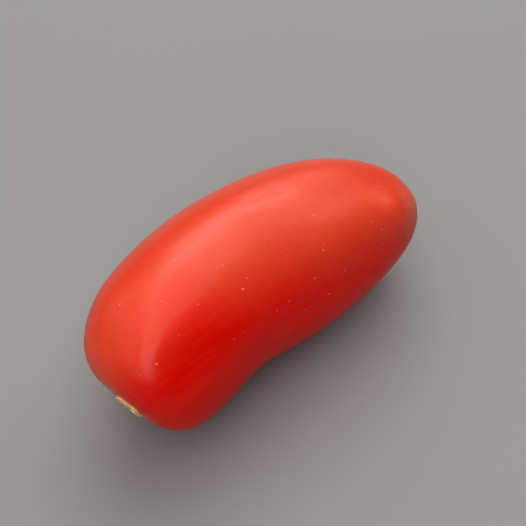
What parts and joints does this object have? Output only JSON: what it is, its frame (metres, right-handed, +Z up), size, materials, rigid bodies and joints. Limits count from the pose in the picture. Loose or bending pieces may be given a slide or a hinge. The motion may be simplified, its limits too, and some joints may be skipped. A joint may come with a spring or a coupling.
{
  "type": "plum tomato",
  "caption": "Whole ripe plum tomato lying on its side: blunt shouldered stem end with a torn calyx remnant in a shallow dish, slight waist, tapered blossom end.",
  "frame": {"origin": "on the surface it lies on, under the middle of the overall box", "axes": "+X from the stem end to the blossom end, +Z up, +Y towards the bowed side, with the waist on the -Y side"},
  "size_m": [0.0856, 0.0408, 0.0403],
  "materials": {
    "ripe_skin": "semi-gloss, waxy",
    "torn_calyx": "dry, matt"
  },
  "bodies": {
    "root": {"fruit": "ripe_skin", "calyx_remnant": "torn_calyx"}
  },
  "joints": []
}
